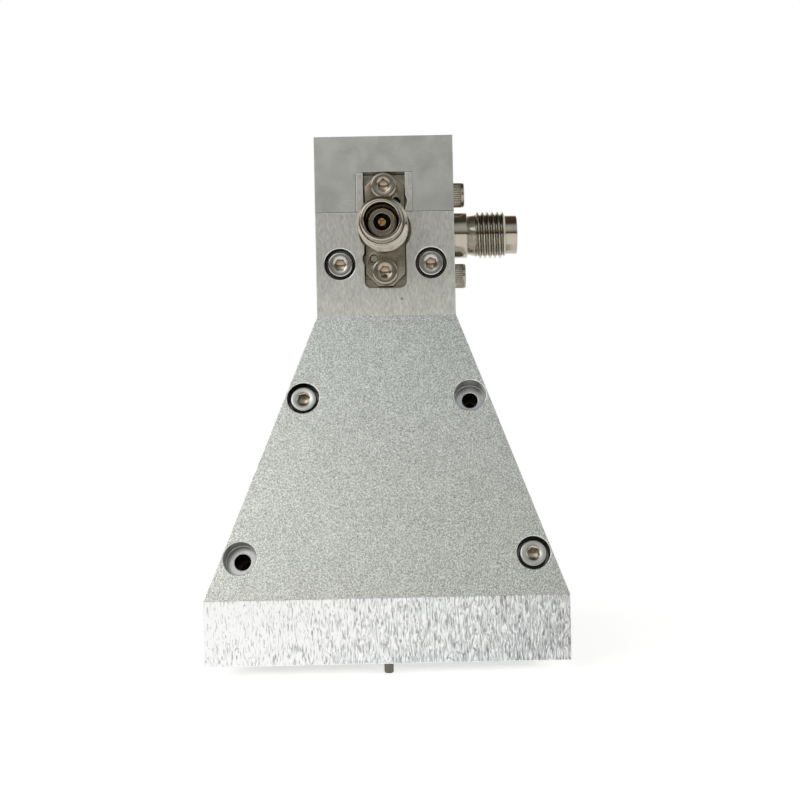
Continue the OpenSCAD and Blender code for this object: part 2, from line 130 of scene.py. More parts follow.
class Finish:
    """A principled material with short names for the few nodes that the finishes share."""

    def __init__(self, name, colour, roughness, metallic=1.0):
        self.material = bpy.data.materials.new(name)
        self.material.use_nodes = True
        self.tree = self.material.node_tree
        self.shader = self.tree.nodes["Principled BSDF"]
        self.shader.inputs["Base Color"].default_value = (*colour, 1.0)
        self.shader.inputs["Roughness"].default_value = roughness
        self.shader.inputs["Metallic"].default_value = metallic

    def feed(self, socket, value):
        """Links value if it is a node's output, and sets it if it is a number or a colour."""
        if isinstance(value, bpy.types.NodeSocket):
            self.tree.links.new(value, socket)
        else:
            socket.default_value = value

    def math(self, operation, a, b=0.0, c=0.0):
        node = self.tree.nodes.new("ShaderNodeMath")
        node.operation = operation
        for socket, value in zip(node.inputs, (a, b, c)):
            self.feed(socket, value)
        return node.outputs[0]

    def vector(self, operation, a, b=(0.0, 0.0, 0.0)):
        node = self.tree.nodes.new("ShaderNodeVectorMath")
        node.operation = operation
        self.feed(node.inputs[0], a)
        self.feed(node.inputs[1], b)
        return node.outputs["Value" if operation in ("LENGTH", "DOT_PRODUCT") else "Vector"]

    def parts(self, vector):
        node = self.tree.nodes.new("ShaderNodeSeparateXYZ")
        self.feed(node.inputs[0], vector)
        return node.outputs[0], node.outputs[1], node.outputs[2]

    def joined(self, x, y, z):
        node = self.tree.nodes.new("ShaderNodeCombineXYZ")
        for socket, value in zip(node.inputs, (x, y, z)):
            self.feed(socket, value)
        return node.outputs[0]

    def place(self):
        """The point on the object, in millimetres."""
        node = self.tree.nodes.new("ShaderNodeTexCoord")
        return self.vector("MULTIPLY", node.outputs["Object"], (1 / MM,) * 3)

    def normal(self):
        return self.parts(self.tree.nodes.new("ShaderNodeNewGeometry").outputs["Normal"])

    def noise(self, point, stretch=(1.0, 1.0, 1.0), detail=2.0, rough=0.5, distortion=0.0, shift=(0, 0, 0)):
        """Noise whose grains are about 1 / stretch across; shift tells one noise from another."""
        node = self.tree.nodes.new("ShaderNodeTexNoise")
        scaled = self.vector("MULTIPLY", self.vector("ADD", point, shift), stretch)
        self.feed(node.inputs["Vector"], scaled)
        node.inputs["Scale"].default_value = 1.0
        node.inputs["Detail"].default_value = detail
        node.inputs["Roughness"].default_value = rough
        node.inputs["Distortion"].default_value = distortion
        return node.outputs["Fac"]

    def spread(self, value, low, high, to_low, to_high, smooth=False):
        """Carries the range low to high over to to_low to to_high, and holds it beyond."""
        node = self.tree.nodes.new("ShaderNodeMapRange")
        node.interpolation_type = "SMOOTHSTEP" if smooth else "LINEAR"
        for socket, number in zip(node.inputs, (value, low, high, to_low, to_high)):
            self.feed(socket, number)
        return node.outputs[0]

    def mixed(self, share, a, b):
        node = self.tree.nodes.new("ShaderNodeMix")
        self.feed(node.inputs[0], share)
        self.feed(node.inputs[2], a)
        self.feed(node.inputs[3], b)
        return node.outputs[0]

    def tinted(self, share, a, b):
        node = self.tree.nodes.new("ShaderNodeMix")
        node.data_type = "RGBA"
        self.feed(node.inputs[0], share)
        for socket, colour in zip(node.inputs[6:8], (a, b)):
            self.feed(socket, colour if isinstance(colour, bpy.types.NodeSocket) else (*colour, 1.0))
        return node.outputs[2]

    def toned(self, colour, tone):
        """A colour made lighter or darker by a number."""
        node = self.tree.nodes.new("ShaderNodeVectorMath")
        node.operation = "SCALE"
        self.feed(node.inputs[0], colour if isinstance(colour, bpy.types.NodeSocket) else tuple(colour))
        self.feed(node.inputs["Scale"], tone)
        return node.outputs[0]

    def rounded(self, radius_mm):
        """The normal of the surface with its edges rounded."""
        node = self.tree.nodes.new("ShaderNodeBevel")
        node.samples = 8
        node.inputs["Radius"].default_value = radius_mm * MM
        return node.outputs[0]

    def painted_hollow_shade(self, reach_mm, darkest):
        """Painted shade: 1 in the open, falling to darkest in grooves and sockets."""
        node = self.tree.nodes.new("ShaderNodeAmbientOcclusion")
        node.samples = 8
        node.inputs["Distance"].default_value = reach_mm * MM
        return self.spread(node.outputs["AO"], 0.15, 0.85, darkest, 1.0)

    def edge(self, rounded, least, most):
        """1 on an edge, falling to 0 away from it."""
        true = self.tree.nodes.new("ShaderNodeNewGeometry").outputs["True Normal"]
        return self.spread(self.vector("DOT_PRODUCT", rounded, true), most, least, 0.0, 1.0)

    def paint(self, colour=None, roughness=None, height=None, height_mm=0.01, rounded=None):
        """Links what varies over the surface to the shader."""
        if colour is not None:
            self.feed(self.shader.inputs["Base Color"], colour)
        if roughness is not None:
            self.feed(self.shader.inputs["Roughness"], roughness)
        if height is not None:
            bump = self.tree.nodes.new("ShaderNodeBump")
            bump.inputs["Distance"].default_value = height_mm * MM
            self.feed(bump.inputs["Height"], height)
            if rounded is not None:
                self.feed(bump.inputs["Normal"], rounded)
            self.feed(self.shader.inputs["Normal"], bump.outputs[0])
        return self.material


def scratches(finish, point, turns, fineness, least):
    """Thin straight marks that run at each of the given angles, strongest where two noises agree."""
    total = 0.0
    for number, turn in enumerate(turns):
        node = finish.tree.nodes.new("ShaderNodeVectorRotate")
        node.rotation_type = "EULER_XYZ"
        finish.feed(node.inputs["Vector"], point)
        node.inputs["Rotation"].default_value = (turn, turn * 1.7, turn)
        line = finish.noise(node.outputs[0], (fineness, fineness, 0.35), 1.0, 0.5, 0.1,
                            (7.0 * number, 3.0, 1.0))
        where = finish.noise(point, (0.35, 0.35, 0.35), 1.0, 0.5, 0.0, (2.0, 11.0 * number, 5.0))
        mark = finish.math("MULTIPLY", finish.spread(line, least, least + 0.06, 0.0, 1.0),
                           finish.spread(where, 0.5, 0.62, 0.0, 1.0))
        total = finish.math("MAXIMUM", mark, total)
    return total


def plate_finish():
    """Milled aluminium: streaked on the band, grained on the flare, finer on the neck."""
    finish = Finish("milled_aluminium", (0.66, 0.67, 0.66), 0.36)
    point = finish.place()
    x, y, z = finish.parts(point)
    normal_x, _, normal_z = finish.normal()
    upright = finish.math("LESS_THAN", finish.math("ABSOLUTE", normal_z), 0.15)
    band = finish.math("MULTIPLY", finish.math("LESS_THAN", z, BAND_TOP_MM), upright)
    neck = finish.math("GREATER_THAN", z, CREASE_MM)

    # the three grains, each as a tone round 1
    sway = finish.noise(point, (0.9, 0.9, 0.45), 1.0, 0.5, 0.0, (3.0, 1.0, 8.0))
    swayed = finish.joined(finish.math("MULTIPLY_ADD", sway, 1.1, x),
                           finish.math("MULTIPLY_ADD", sway, 1.1, y), z)
    streak = finish.noise(swayed, (5.4, 5.4, 0.62), 2.0, 0.55, 0.12)
    fine_streak = finish.noise(swayed, (10.0, 10.0, 1.1), 2.0, 0.6, 0.0, (5.0, 2.0, 9.0))
    streaked = finish.math("ADD", finish.math("MULTIPLY", streak, 0.65),
                           finish.math("MULTIPLY", fine_streak, 0.35))
    # painted shade: the band's streaks are made darker towards +X and towards its foot
    shade = finish.math("MULTIPLY_ADD", x, 0.0012, finish.math("MULTIPLY", z, -0.002))
    streaked = finish.math("SUBTRACT", streaked, shade)
    # painted shade: the band's tone also falls from 1.24 on the left to 0.76 on the right, as if lit from the
    # left
    band_tone_and_painted_shade = finish.math("MULTIPLY", finish.spread(streaked, 0.36, 0.60, 0.40, 1.62),
                            finish.spread(x, -MOUTH_R_MM, MOUTH_R_MM, 1.24, 0.76))
    speck = finish.noise(point, (6.6, 6.6, 6.6), 3.0, 0.62, 0.5)
    cloud = finish.noise(point, (0.5, 0.5, 0.5), 2.0, 0.5, 0.0, (9.0, 4.0, 2.0))
    flare_tone = finish.math("MULTIPLY", finish.spread(speck, 0.40, 0.60, 0.54, 1.44),
                             finish.spread(cloud, 0.3, 0.7, 0.96, 1.04))
    brushed = finish.noise(point, (6.0, 6.0, 1.6), 3.0, 0.6, 0.0, (1.0, 6.0, 3.0))
    neck_tone_and_painted_bounce = finish.math("MULTIPLY", finish.spread(brushed, 0.36, 0.64, 0.84, 1.13),
                            finish.spread(cloud, 0.3, 0.7, 0.95, 1.05))
    # painted light: the neck is lighter towards the crease, as light thrown up from the flare would make it
    neck_tone_and_painted_bounce = finish.math("MULTIPLY", neck_tone_and_painted_bounce, finish.spread(z, CREASE_MM, CREASE_MM + 8.0, 1.22, 1.0))
    tone = finish.mixed(band, finish.mixed(neck, flare_tone, neck_tone_and_painted_bounce), band_tone_and_painted_shade)
    height = finish.mixed(band, finish.mixed(neck, speck, brushed), streaked)

    # the recesses that take the jacks, milled darker and browner
    furthest = finish.math("MAXIMUM", finish.math("ABSOLUTE", x), finish.math("ABSOLUTE", y))
    recess = finish.math("MULTIPLY", finish.math("GREATER_THAN", z, CREASE_MM + 2.0),
                         finish.math("LESS_THAN", furthest, NECK_R_MM - 0.25))
    # painted shadow under the jacks' flanges, which their open pin holes show
    painted_flange_shadow = finish.math("MULTIPLY", recess, finish.math("LESS_THAN", furthest, SEAT_R_MM + 0.02))
    across = finish.math("MINIMUM", finish.math("ABSOLUTE", x), finish.math("ABSOLUTE", y))
    painted_flange_shadow = finish.math("MULTIPLY", painted_flange_shadow, finish.math("LESS_THAN", across, FLANGE_MM[1] / 2 - 0.1))
    painted_flange_shadow = finish.math("MULTIPLY", painted_flange_shadow, finish.math("LESS_THAN", finish.math(
        "ABSOLUTE", finish.math("SUBTRACT", z, JACK_LEVEL_MM)), LOCATING_HOLE_MM[0] + LOCATING_HOLE_R_MM))
    # counterbores, turned smooth: all lie on two levels once the point is folded to the front right
    folded = finish.joined(finish.math("ABSOLUTE", x),
                           finish.math("MULTIPLY", finish.math("ABSOLUTE", y), -1.0), z)
    along = (0.0, -math.cos(FLARE_ANGLE), math.sin(FLARE_ANGLE))
    turned, deep = 0.0, 0.0
    for level in FLARE_SCREW_LEVELS_MM:
        out = NECK_R_MM + (CREASE_MM - level) * math.tan(FLARE_ANGLE)
        arm = finish.vector("SUBTRACT", folded, (out - FLARE_SCREW_INSET_MM, -out, level))
        off = finish.vector("LENGTH", finish.vector("CROSS_PRODUCT", arm, along))
        depth = finish.vector("DOT_PRODUCT", arm, along)
        inside = finish.math("MULTIPLY", finish.math("LESS_THAN", off, COUNTERBORE_R_MM + 0.03),
                             finish.math("LESS_THAN", depth, -0.02))
        turned = finish.math("MAXIMUM", turned, inside)
        # painted shade below the seat, down the bore; this has no end, so it also darkens what the axis meets
        # inside the horn
        deep = finish.math("MAXIMUM", deep, finish.math(
            "MULTIPLY", inside, finish.math("LESS_THAN", depth, -SEAT_DEPTH_MM - 0.05)))
    neck_side = finish.math("ABSOLUTE", finish.math("SUBTRACT", finish.math("ABSOLUTE", x), NECK_SCREW_X_MM))
    neck_off = finish.math("SQRT", finish.math("ADD", finish.math("POWER", neck_side, 2.0),
                           finish.math("POWER", finish.math("SUBTRACT", z, NECK_SCREW_LEVEL_MM), 2.0)))
    turned = finish.math("MAXIMUM", turned, finish.math("MULTIPLY", neck, finish.math(
        "MULTIPLY", finish.math("LESS_THAN", neck_off, COUNTERBORE_R_MM + 0.03),
        finish.math("LESS_THAN", furthest, NECK_R_MM - 0.02))))

    # dark joints: the cap's foot, and where the narrow plates meet the wide ones on the sides
    parting = finish.math("LESS_THAN", finish.math("ABSOLUTE", finish.math("SUBTRACT", z, PARTING_MM)), 0.045)
    slope = (MOUTH_R_MM - RIM_MM - GUIDE_R_MM) / (CREASE_MM + GUIDE_RISE_MM)
    inner = finish.math("MAXIMUM", finish.math("MULTIPLY_ADD", z, -slope, MOUTH_R_MM - RIM_MM), GUIDE_R_MM)
    gap = finish.math("ABSOLUTE", finish.math("SUBTRACT", finish.math("ABSOLUTE", y), inner))
    side = finish.math("GREATER_THAN", finish.math("ABSOLUTE", normal_x), 0.5)
    joint = finish.math("MULTIPLY", finish.math("LESS_THAN", gap, 0.05), side)
    seam = finish.math("MAXIMUM", parting, joint)

    base = finish.tinted(band, (0.60, 0.605, 0.57), (0.70, 0.71, 0.715))
    # milling arcs on the recess's floor
    sweep = finish.vector("LENGTH", finish.joined(across, 0.0, finish.math("SUBTRACT", z, PARTING_MM + 2.0)))
    arcs = finish.noise(finish.joined(sweep, 0.0, 0.0), (5.0, 5.0, 5.0), 2.0, 0.6)
    base = finish.tinted(recess, base, (0.44, 0.40, 0.33))
    tone = finish.mixed(recess, tone, finish.spread(arcs, 0.35, 0.65, 0.6, 1.25))
    # painted shadow: a nearly black recess floor under the flanges
    base = finish.tinted(painted_flange_shadow, base, (0.03, 0.027, 0.022))
    base = finish.tinted(turned, base, (0.47, 0.475, 0.47))
    # painted shade: dark brown in the bores below the seats
    base = finish.tinted(deep, base, (0.09, 0.075, 0.055))
    edge_normal = finish.rounded(0.20)
    # painted highlight along the rounded edges, kept out of the recesses and bores
    painted_edge_highlight = finish.math("MULTIPLY", finish.edge(edge_normal, 0.86, 0.995),
                       finish.math("SUBTRACT", 1.0, finish.math("MAXIMUM", recess, deep)))
    # the counterbores: brushed tone with painted shade in their hollows
    rim_shade = finish.math("MULTIPLY", finish.spread(brushed, 0.36, 0.64, 0.9, 1.1),
                            finish.painted_hollow_shade(0.9, 0.06))
    tone = finish.mixed(turned, tone, rim_shade)
    tone = finish.math("MULTIPLY_ADD", painted_edge_highlight, 0.85, tone)
    pit = finish.vector("LENGTH", finish.vector("SUBTRACT", point, PIT_MM))
    tone = finish.mixed(finish.spread(pit, 0.10, 0.26, 1.0, 0.0), tone, 0.45)
    tone = finish.mixed(seam, tone, 0.22)
    flare_roughness = finish.spread(speck, 0.3, 0.7, 0.33, 0.42)
    roughness = finish.mixed(turned, finish.mixed(band, flare_roughness, 0.34), 0.24)
    return finish.paint(finish.toned(base, tone), roughness, height, 0.004, edge_normal)


def cap_finish():
    """Satin aluminium, smoother than the plates, with faint scratches and scuffs."""
    finish = Finish("satin_aluminium", (0.60, 0.62, 0.61), 0.36)
    point = finish.place()
    x, y, z = finish.parts(point)
    speck = finish.noise(point, (6.5, 6.5, 6.5), 3.0, 0.6)
    cloud = finish.noise(point, (0.35, 0.35, 0.35), 3.0, 0.55, 0.4, (4.0, 7.0, 1.0))
    marks = scratches(finish, point, (0.5, 1.9, 2.8), 14.0, 0.64)
    tone = finish.math("MULTIPLY", finish.spread(speck, 0.3, 0.7, 0.94, 1.06),
                       finish.spread(cloud, 0.3, 0.7, 0.94, 1.05))
    tone = finish.math("MULTIPLY_ADD", marks, 0.16, tone)
    parting = finish.math("LESS_THAN", finish.math("ABSOLUTE", finish.math("SUBTRACT", z, PARTING_MM)), 0.045)
    edge_normal = finish.rounded(0.12)
    # painted highlight along the cap's rounded edges
    tone = finish.math("MULTIPLY_ADD", finish.edge(edge_normal, 0.86, 0.995), 0.30, tone)
    tone = finish.mixed(parting, tone, 0.22)
    return finish.paint(finish.toned((0.53, 0.545, 0.51), tone), finish.spread(cloud, 0.3, 0.7, 0.34, 0.42),
                        finish.math("ADD", speck, finish.math("MULTIPLY", marks, 0.6)), 0.002, edge_normal)


def turned_finish(name, colour, roughness, rings_mm, tone_spread):
    """Lathe-turned metal: rings that follow the profile, which lathe() writes in the V of its UV map."""
    finish = Finish(name, colour, roughness)
    node = finish.tree.nodes.new("ShaderNodeTexCoord")
    along = finish.parts(node.outputs["UV"])[1]
    ring_point = finish.joined(finish.math("MULTIPLY", along, 1.0 / rings_mm), 0.0, 0.0)
    rings = finish.noise(ring_point, (1.0, 1.0, 1.0), 3.0, 0.65)
    stain = finish.noise(finish.place(), (0.8, 0.8, 0.8), 2.0, 0.5)
    tone = finish.math("MULTIPLY", finish.spread(rings, 0.3, 0.7, 1 - tone_spread, 1 + tone_spread),
                       finish.spread(stain, 0.3, 0.7, 0.93, 1.06))
    # painted shade in grooves and hollows
    tone = finish.math("MULTIPLY", tone, finish.painted_hollow_shade(0.7, 0.30))
    edge_normal = finish.rounded(0.06)
    # painted highlight along the rounded edges
    tone = finish.math("MULTIPLY_ADD", finish.edge(edge_normal, 0.88, 0.995), 0.5, tone)
    rough = finish.spread(rings, 0.3, 0.7, roughness * 0.8, roughness * 1.3)
    return finish.paint(finish.toned(colour, tone), rough, rings, 0.0012, edge_normal)


def grained_finish(name, colour, roughness, stretch, depth_mm, metallic=1.0, spread=0.12):
    """A plain grain for pieces that are small in view."""
    finish = Finish(name, colour, roughness, metallic)
    point = finish.place()
    grain = finish.noise(point, stretch, 3.0, 0.6)
    cloud = finish.noise(point, (0.7, 0.7, 0.7), 2.0, 0.5, 0.0, (3.0, 3.0, 3.0))
    tone = finish.math("MULTIPLY", finish.spread(grain, 0.3, 0.7, 1 - spread, 1 + spread),
                       finish.spread(cloud, 0.3, 0.7, 0.94, 1.06))
    rough = finish.spread(grain, 0.3, 0.7, roughness * 0.85, roughness * 1.2)
    return finish.paint(finish.toned(colour, tone), rough, grain, depth_mm)


# ---- Meshes ----


def lathe(profile, segments, closed=False, reshape=None):
    """Turns (radius, height) points about Z, in millimetres. reshape(index, radius, height, angle) may move a
    point in or out, and a radius of 0 makes a pole. Returns vertices, faces and each face corner's UV."""
    rings, vertices, run, lengths = [], [], 0.0, []
    for index, (radius, height) in enumerate(profile):
        if index:
            before = profile[index - 1]
            run += math.hypot(radius - before[0], height - before[1])
        lengths.append(run)
        if radius == 0:
            rings.append([len(vertices)] * segments)
            vertices.append((0.0, 0.0, height))
            continue
        ring = []
        for step in range(segments):
            angle = 2 * math.pi * step / segments
            out = reshape(index, radius, height, angle) if reshape else radius
            ring.append(len(vertices))
            vertices.append((out * math.cos(angle), out * math.sin(angle), height))
        rings.append(ring)
    faces, uvs = [], []
    pairs = [(k, k + 1) for k in range(len(profile) - 1)] + ([(len(profile) - 1, 0)] if closed else [])
    for low, high in pairs:
        for step in range(segments):
            following = (step + 1) % segments
            corners = [(rings[low][step], step, low), (rings[low][following], step + 1, low),
                       (rings[high][following], step + 1, high), (rings[high][step], step, high)]
            kept = []
            for corner in corners:
                if corner[0] not in [k[0] for k in kept]:
                    kept.append(corner)
            faces.append([corner[0] for corner in kept])
            uvs.append([(corner[1] / segments, lengths[corner[2]]) for corner in kept])
    return vertices, faces, uvs


def add_piece(name, shells, material, node, inner=None, inner_from_mm=0.0):
    """One piece made of several (vertices, faces, uvs, place) shells, which stands for a CAD node.
    Faces whose profile has run past inner_from_mm take the inner material."""
    mesh = bpy.data.meshes.new(name)
    vertices, faces, uvs = [], [], []
    for shell_vertices, shell_faces, shell_uvs, place in shells:
        start = len(vertices)
        vertices += [place @ (Vector(v) * MM) for v in shell_vertices]
        faces += [[start + corner for corner in face] for face in shell_faces]
        uvs += shell_uvs
    mesh.from_pydata(vertices, [], faces)
    layer = mesh.uv_layers.new(name="turning")
    flat = [uv for face in uvs for uv in face]
    for loop, uv in zip(layer.data, flat):
        loop.uv = uv
    tidy = bmesh.new()
    tidy.from_mesh(mesh)
    bmesh.ops.recalc_face_normals(tidy, faces=tidy.faces)
    tidy.to_mesh(mesh)
    tidy.free()
    mesh.shade_smooth()
    mesh.set_sharp_from_angle(angle=math.radians(32))
    mesh.materials.append(material)
    if inner:
        mesh.materials.append(inner)
        for polygon, face_uvs in zip(mesh.polygons, uvs):
            polygon.material_index = int(min(uv[1] for uv in face_uvs) >= inner_from_mm)
    piece = bpy.data.objects.new(name, mesh)
    bpy.context.scene.collection.objects.link(piece)
    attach(piece, "root")
    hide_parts(node)
    return piece


def facing(point, axis):
    """The place of a turned piece whose height 0 is at point and whose top looks along axis."""
    return Matrix.Translation(point) @ axis.to_track_quat("Z", "X").to_matrix().to_4x4()


def jack_place(point, axis):
    """The place of a jack: local Z looks out along axis, and local X runs down its flange."""
    down = Vector((0, 0, -1))
    turn = Matrix((down, axis.cross(down), axis)).transposed()
    return Matrix.Translation(point) @ turn.to_4x4()


def screw_profile(length):
    """Points of a socket head cap screw from its tip to the bottom of its hexagon, top of the head at 0."""
    seat = -HEAD_H_MM
    tip = seat - length
    edge = 0.26
    points = [(0, tip), (SHANK_R_MM - 0.2, tip), (SHANK_R_MM, tip + 0.2), (SHANK_R_MM, seat)]
    points += [(HEAD_R_MM - 0.16, seat), (HEAD_R_MM - 0.03, seat + 0.1), (HEAD_R_MM, seat + 0.24)]
    ribbed = [len(points), len(points) + 1]
    points += [(HEAD_R_MM, seat + 0.32), (HEAD_R_MM, -0.56)]
    points += [(HEAD_R_MM, -0.46)]
    points += [(HEAD_R_MM - edge + edge * math.cos(turn), -edge + edge * math.sin(turn))
               for turn in [math.pi / 2 * k / 6 for k in range(7)]]
    dish = HEX_MM / 2 / math.cos(math.pi / 6) + 0.06
    points += [(dish + 0.14, -0.01), (dish, -0.05)]
    hexagonal = [len(points), len(points) + 1]
    points += [(HEX_MM / 2, -0.13), (HEX_MM / 2, -HEX_DEPTH_MM)]
    points += [(HEX_MM / 2 * 0.72, -HEX_DEPTH_MM - 0.02), (0, -HEX_DEPTH_MM - 0.36)]
    return points, ribbed, hexagonal


def screw_shell(top, axis, length, turn):
    """A screw with ribs round its head and a hexagon turned by the given angle."""
    points, ribbed, hexagonal = screw_profile(length)

    def reshape(index, radius, height, angle):
        if index in ribbed:
            phase = (angle * RIBS / (2 * math.pi)) % 1.0
            return radius - 0.11 * abs(2 * phase - 1) ** 2
        if index in hexagonal:
            within = (angle % (math.pi / 3)) - math.pi / 6
            return radius / math.cos(within)
        return radius

    vertices, faces, uvs = lathe(points, RIBS * 6, reshape=reshape)
    return vertices, faces, uvs, facing(top, axis) @ Matrix.Rotation(turn, 4, "Z")


def islands(node):
    """The separate solids of a CAD node, as lists of points."""
    joined = bmesh.new()
    joined.from_mesh(frame["nodes"][node].data)
    bmesh.ops.remove_doubles(joined, verts=joined.verts, dist=0.001 * MM)
    left, groups = set(joined.verts), []
    while left:
        queue, group = [left.pop()], []
        while queue:
            vertex = queue.pop()
            group.append(vertex.co.copy())
            for edge in vertex.link_edges:
                other = edge.other_vert(vertex)
                if other in left:
                    left.remove(other)
                    queue.append(other)
        groups.append(group)
    joined.free()

    def middle(group):
        return tuple(round(sum(point[k] for point in group) / len(group), 5) for k in (2, 0, 1))

    return sorted(groups, key=middle)


def screws(node, axis_of, material, turns):
    """Replaces the screws of a CAD node, each at its own place; turns are their hexagons' angles."""
    shells = []
    for number, points in enumerate(islands(node)):
        middle = sum(points, Vector()) / len(points)
        axis = axis_of(middle)
        heights = [p.dot(axis) for p in points]
        across = [p - axis * p.dot(axis) for p in points]
        low = Vector([min(p[k] for p in across) for k in range(3)])
        high = Vector([max(p[k] for p in across) for k in range(3)])
        top = (low + high) / 2
        top = top - axis * top.dot(axis) + axis * max(heights)
        length = (max(heights) - min(heights)) / MM - HEAD_H_MM
        shells.append(screw_shell(top, axis, length, turns[number % len(turns)]))
    points, _, hexagonal = screw_profile(length)
    run = sum(math.dist(a, b) for a, b in zip(points[:hexagonal[0]], points[1:]))
    # the hexagon sockets take the darker steel of painted shade
    return add_piece(node + "_detailed", shells, material, node, hex_socket_painted_shade, run - 0.01)


def thread_cut(height, angle):
    """How far the M7 x 0.75 thread's flank lies below its crest there."""
    phase = ((height - THREAD_START_MM) / THREAD_PITCH_MM - angle / (2 * math.pi)) % 1.0
    rise = abs(2 * phase - 1)
    return THREAD_DEPTH_MM * (1 - min(max((rise - 0.14) / 0.72, 0.0), 1.0))


def barrel_profile():
    """A jack's barrel from the flange's back, out round the thread and nose and back down its bore."""
    points = [(BUSH_R_MM, 0.0), (COLLAR_R_MM - 0.4, 0.0), (COLLAR_R_MM - 0.4, FLANGE_MM[2] - 0.02)]
    points += [(COLLAR_R_MM, FLANGE_MM[2] - 0.02), (COLLAR_R_MM, COLLAR_END_MM - 0.2),
               (COLLAR_R_MM - 0.05, COLLAR_END_MM - 0.06), (COLLAR_R_MM - 0.2, COLLAR_END_MM)]
    points += [(GROOVE_R_MM + 0.08, COLLAR_END_MM), (GROOVE_R_MM, COLLAR_END_MM + 0.08)]
    first = len(points)
    steps = round((THREAD_END_MM - THREAD_START_MM) / (THREAD_PITCH_MM / 14))
    points += [(THREAD_R_MM, THREAD_START_MM + (THREAD_END_MM - THREAD_START_MM) * k / steps)
               for k in range(steps + 1)]
    last = len(points) - 1
    rim = 0.2
    points += [(NOSE_R_MM, THREAD_END_MM + 0.02), (NOSE_R_MM, NOSE_END_MM - rim)]
    points += [(NOSE_R_MM - rim + rim * math.cos(turn), NOSE_END_MM - rim + rim * math.sin(turn))
               for turn in [math.pi / 2 * k / 5 for k in range(1, 6)]]
    points += [(SOCKET_R_MM + 0.1, NOSE_END_MM), (SOCKET_R_MM, NOSE_END_MM - 0.1)]
    gap, deep = RING_GROOVE_MM
    points += [(SOCKET_R_MM, SEAT_STATION_MM), (RING_R_MM + gap, SEAT_STATION_MM - deep),
               (RING_R_MM, SEAT_STATION_MM - deep), (RING_R_MM, SEAT_STATION_MM - 0.05),
               (RING_R_MM - 0.05, SEAT_STATION_MM), (LINE_R_MM + 0.03, SEAT_STATION_MM),
               (LINE_R_MM, SEAT_STATION_MM - 0.03)]
    points += [(LINE_R_MM, SHOULDER_MM), (BUSH_R_MM, SHOULDER_MM)]
    return points, first, last


def barrel_shell(place):
    points, first, last = barrel_profile()

    def reshape(index, radius, height, angle):
        if not first <= index <= last:
            return radius
        lead = min(height - THREAD_START_MM, THREAD_END_MM - height)
        crest = min(THREAD_R_MM, THREAD_R_MM - THREAD_LEAD_MM + max(lead, 0.0))
        root = GROOVE_R_MM if height < THREAD_START_MM + 0.02 else NOSE_R_MM + 0.01
        return max(min(THREAD_R_MM - thread_cut(height, angle), crest), root)

    vertices, faces, uvs = lathe(points, 144, closed=True, reshape=reshape)
    return vertices, faces, uvs, place


def flange_shell(place):
    """The two-hole flange with a fine bevel on every edge, filled from flat outlines."""
    curve = bpy.data.curves.new("flange_outline", "CURVE")
    curve.dimensions = "2D"
    curve.fill_mode = "BOTH"
    half_l, half_w, cut = FLANGE_MM[0] / 2, FLANGE_MM[1] / 2, FLANGE_CUT_MM
    outline = [(-half_l, cut - half_w), (cut - half_l, -half_w),
               (half_l - cut, -half_w), (half_l, cut - half_w),
               (half_l, half_w - cut), (half_l - cut, half_w),
               (cut - half_l, half_w), (-half_l, half_w - cut)]
    holes = [(0.0, 0.0, COLLAR_R_MM - 0.4)]
    holes += [(end * FLANGE_PITCH_MM / 2, 0.0, FLANGE_HOLE_R_MM) for end in (-1, 1)]
    holes += [(end * LOCATING_HOLE_MM[0], -end * LOCATING_HOLE_MM[1], LOCATING_HOLE_R_MM) for end in (-1, 1)]
    loops = [outline]
    for x, y, radius in holes:
        turns = [2 * math.pi * k / HOLE_SEGMENTS for k in range(HOLE_SEGMENTS)]
        loops.append([(x + radius * math.cos(turn), y + radius * math.sin(turn)) for turn in turns])
    for loop in loops:
        spline = curve.splines.new("POLY")
        spline.points.add(len(loop) - 1)
        spline.use_cyclic_u = True
        for point, (x, y) in zip(spline.points, loop):
            point.co = (x, y, 0.0, 1.0)
    curve.extrude = FLANGE_MM[2] / 2 - FLANGE_EDGE_MM
    curve.bevel_depth = FLANGE_EDGE_MM
    curve.bevel_resolution = 1
    curve.offset = -FLANGE_EDGE_MM
    shape = bpy.data.objects.new("flange_outline", curve)
    bpy.context.scene.collection.objects.link(shape)
    bpy.context.view_layer.update()
    mesh = bpy.data.meshes.new_from_object(shape.evaluated_get(bpy.context.evaluated_depsgraph_get()))
    welded = bmesh.new()
    welded.from_mesh(mesh)
    bmesh.ops.remove_doubles(welded, verts=welded.verts, dist=0.001)
    lift = FLANGE_MM[2] / 2
    vertices = [(v.co.x, v.co.y, v.co.z + lift) for v in welded.verts]
    welded.verts.index_update()
    faces = [[v.index for v in face.verts] for face in welded.faces]
    welded.free()
    bpy.data.objects.remove(shape)
    bpy.data.curves.remove(curve)
    bpy.data.meshes.remove(mesh)
    uvs = [[(0.0, vertices[corner][0] * 0.6 + vertices[corner][1]) for corner in face] for face in faces]
    return vertices, faces, uvs, place


def jack(side, axis):
    """A jack's flange and barrel, placed by the CAD body's own box."""
    node = side + "_jack_body"
    low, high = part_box(node)
    middle = (low + high) / 2
    start = middle - axis * (middle.dot(axis)) + axis * min(low.dot(axis), high.dot(axis))
    place = jack_place(start, axis)
    barrel = add_piece(side + "_jack_barrel", [barrel_shell(place)], steel, node)
    flange = add_piece(side + "_jack_flange", [flange_shell(place)], flange_steel, node)
    return barrel, flange


# ---- Stage, light and camera ----


